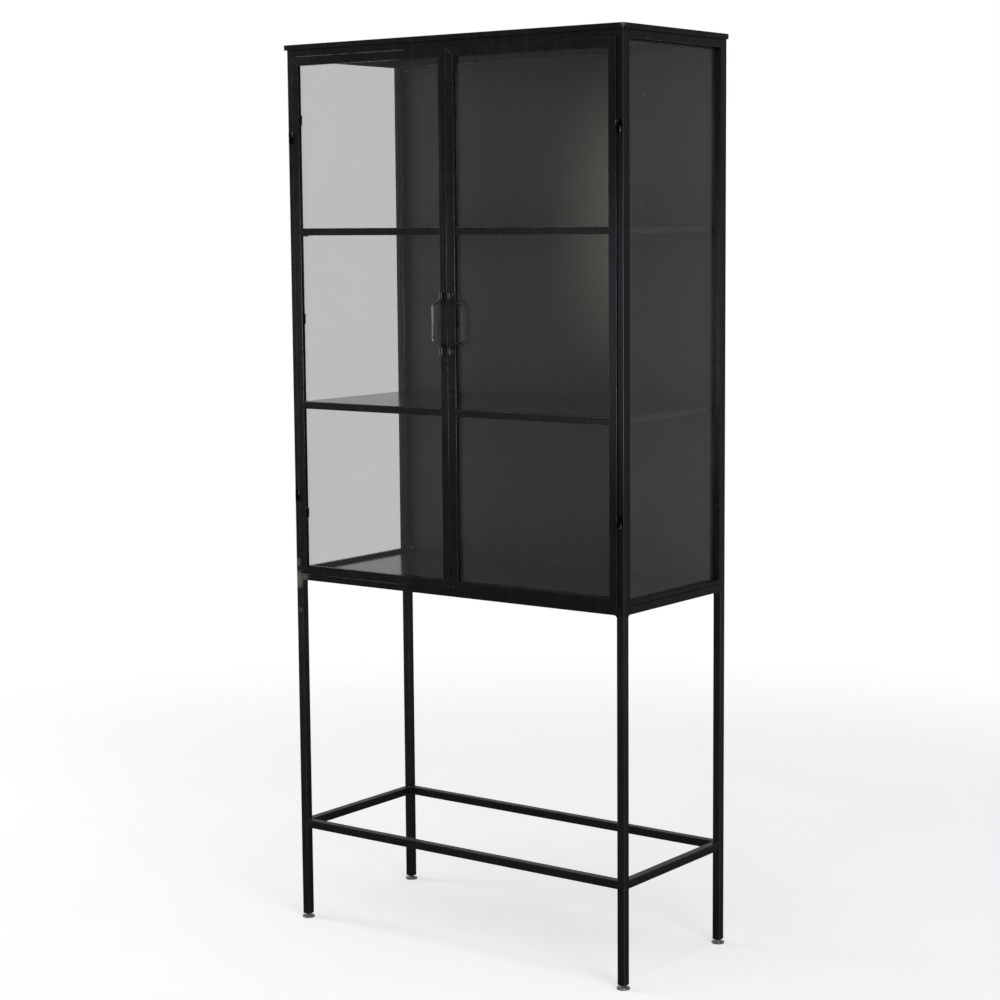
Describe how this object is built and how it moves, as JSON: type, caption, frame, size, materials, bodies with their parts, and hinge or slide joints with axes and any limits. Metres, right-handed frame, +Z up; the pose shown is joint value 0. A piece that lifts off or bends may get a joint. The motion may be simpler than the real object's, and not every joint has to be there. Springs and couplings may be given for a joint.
{
  "type": "tower display case",
  "caption": "Tall glazed display case on a welded square-tube steel stand, with overlay double doors, shelves, bail handles and levelling glides.",
  "frame": {"origin": "on the floor under the middle of the object's outline", "axes": "+Z up, +X to the right seen from the doors, -Y out of the doors"},
  "size_m": [0.801, 0.3704, 1.762],
  "materials": {
    "frame_steel": "satin near-black patinated and waxed steel",
    "panel_steel": "smooth dark lacquered sheet steel",
    "glass": "clear polished",
    "plated_steel": "plated, slightly dull",
    "board": "raw plywood, hidden",
    "catch_plastic": "matt black",
    "plug_plastic": "matt black nylon"
  },
  "bodies": {
    "case": {"leg_front_left": "frame_steel", "post_front_left": "frame_steel", "leg_rear_left": "frame_steel", "post_rear_left": "frame_steel", "leg_front_right": "frame_steel", "post_front_right": "frame_steel", "leg_rear_right": "frame_steel", "post_rear_right": "frame_steel", "stretcher_front": "frame_steel", "stretcher_rear": "frame_steel", "stretcher_left": "frame_steel", "stretcher_right": "frame_steel", "bottom_rail_front": "frame_steel", "bottom_rail_rear": "frame_steel", "bottom_rail_left": "frame_steel", "bottom_rail_right": "frame_steel", "top_rail_front": "frame_steel", "top_rail_rear": "frame_steel", "top_rail_left": "frame_steel", "top_rail_right": "frame_steel", "top_tray": "frame_steel", "top_board": "board", "floor_panel": "panel_steel", "back_panel": "panel_steel", "shelf_lower": "panel_steel", "shelf_upper": "panel_steel", "shelf_supports": "panel_steel", "side_glass_left": "glass", "side_glass_right": "glass", "glazing_bars": "frame_steel", "glazing_beads": "frame_steel", "hinge_post_knuckles": "frame_steel", "hinge_pins": "plated_steel", "magnetic_catch": "catch_plastic", "leg_plugs": "plug_plastic"},
    "door_left": {"door_left_hinge_stile": "frame_steel", "door_left_meeting_stile": "frame_steel", "door_left_rails": "frame_steel", "door_left_muntins": "frame_steel", "door_left_hinge_knuckles": "frame_steel", "door_left_handle_lugs": "frame_steel", "door_left_glass": "glass", "door_left_glass_clips": "frame_steel", "door_left_strike": "plated_steel"},
    "door_right": {"door_right_hinge_stile": "frame_steel", "door_right_meeting_stile": "frame_steel", "door_right_rails": "frame_steel", "door_right_muntins": "frame_steel", "door_right_hinge_knuckles": "frame_steel", "door_right_handle_lugs": "frame_steel", "door_right_glass": "glass", "door_right_glass_clips": "frame_steel", "door_right_strike": "plated_steel"},
    "bail_left": {"bail_left": "frame_steel"},
    "bail_right": {"bail_right": "frame_steel"},
    "glide_front_left": {"glide_front_left": "plated_steel"},
    "glide_rear_left": {"glide_rear_left": "plated_steel"},
    "glide_front_right": {"glide_front_right": "plated_steel"},
    "glide_rear_right": {"glide_rear_right": "plated_steel"}
  },
  "joints": [
    {"name": "door_left_hinge", "type": "hinge", "parent": "case", "child": "door_left", "pos_m": [-0.3875, -0.17505, 1.227], "axis": [0, 0, -1], "range_deg": [0, 120]},
    {"name": "bail_left_pivot", "type": "hinge", "parent": "door_left", "child": "bail_left", "pos_m": [-0.0095, -0.18175, 1.225], "axis": [0, 0, 1], "range_deg": [0, 100]},
    {"name": "glide_front_left_screw", "type": "slide", "parent": "case", "child": "glide_front_left", "axis": [0, 0, -1], "range_m": [-0.003, 0.012]},
    {"name": "glide_rear_left_screw", "type": "slide", "parent": "case", "child": "glide_rear_left", "axis": [0, 0, -1], "range_m": [-0.003, 0.012]},
    {"name": "door_right_hinge", "type": "hinge", "parent": "case", "child": "door_right", "pos_m": [0.3875, -0.17505, 1.227], "axis": [0, 0, 1], "range_deg": [0, 120]},
    {"name": "bail_right_pivot", "type": "hinge", "parent": "door_right", "child": "bail_right", "pos_m": [0.0095, -0.18175, 1.225], "axis": [0, 0, -1], "range_deg": [0, 100]},
    {"name": "glide_front_right_screw", "type": "slide", "parent": "case", "child": "glide_front_right", "axis": [0, 0, -1], "range_m": [-0.003, 0.012]},
    {"name": "glide_rear_right_screw", "type": "slide", "parent": "case", "child": "glide_rear_right", "axis": [0, 0, -1], "range_m": [-0.003, 0.012]}
  ]
}
